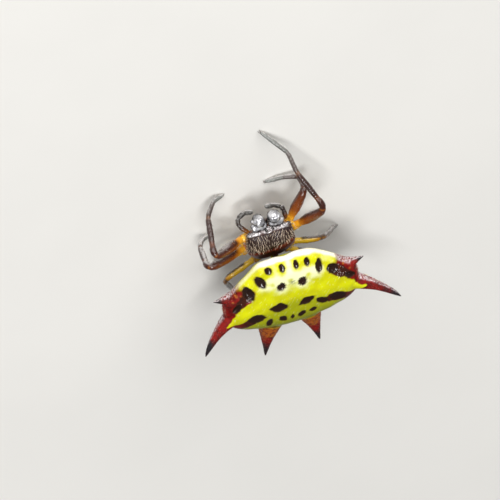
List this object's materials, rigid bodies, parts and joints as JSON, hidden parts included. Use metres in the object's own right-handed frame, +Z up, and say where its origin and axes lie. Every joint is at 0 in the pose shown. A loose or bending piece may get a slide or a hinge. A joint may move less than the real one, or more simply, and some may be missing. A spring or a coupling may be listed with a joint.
{
  "type": "spiny orb weaver spider",
  "caption": "Life-size still model of an adult female spiny orb weaver on its feet, with a wide yellow spined abdomen plate and bent legs.",
  "frame": {"origin": "on the floor under the middle of the whole animal's bounding box", "axes": "+Z up, -Y the way the spider faces, -X its own right side"},
  "size_m": [0.0136, 0.0158, 0.0056],
  "materials": {
    "abdomen_shell": "hard satin shell, lemon yellow with dark brown pits and red to black spines",
    "spinneret_skin": "black, finely hairy",
    "head_shell": "maroon brown shell under short pale lying hairs",
    "jaw_shell": "glossy black shell",
    "palp_shell": "dark grey shell with short hairs, orange at the root",
    "leg_shell": "glossy red-brown thighs, dark brown shins with orange rings, pale grey feet"
  },
  "bodies": {
    "root": {"abdomen": "abdomen_shell", "spinnerets": "spinneret_skin", "cephalothorax": "head_shell", "chelicera_left": "jaw_shell", "chelicera_right": "jaw_shell", "palp_left": "palp_shell", "palp_right": "palp_shell", "leg_left_1_femur": "leg_shell", "leg_left_1_tibia": "leg_shell", "leg_left_1_tarsus": "leg_shell", "leg_left_2_femur": "leg_shell", "leg_left_2_tibia": "leg_shell", "leg_left_2_tarsus": "leg_shell", "leg_left_3_femur": "leg_shell", "leg_left_3_tibia": "leg_shell", "leg_left_3_tarsus": "leg_shell", "leg_left_4_femur": "leg_shell", "leg_left_4_tibia": "leg_shell", "leg_left_4_tarsus": "leg_shell", "leg_right_1_femur": "leg_shell", "leg_right_1_tibia": "leg_shell", "leg_right_1_tarsus": "leg_shell", "leg_right_2_femur": "leg_shell", "leg_right_2_tibia": "leg_shell", "leg_right_2_tarsus": "leg_shell", "leg_right_3_femur": "leg_shell", "leg_right_3_tibia": "leg_shell", "leg_right_3_tarsus": "leg_shell", "leg_right_4_femur": "leg_shell", "leg_right_4_tibia": "leg_shell", "leg_right_4_tarsus": "leg_shell"}
  },
  "joints": []
}
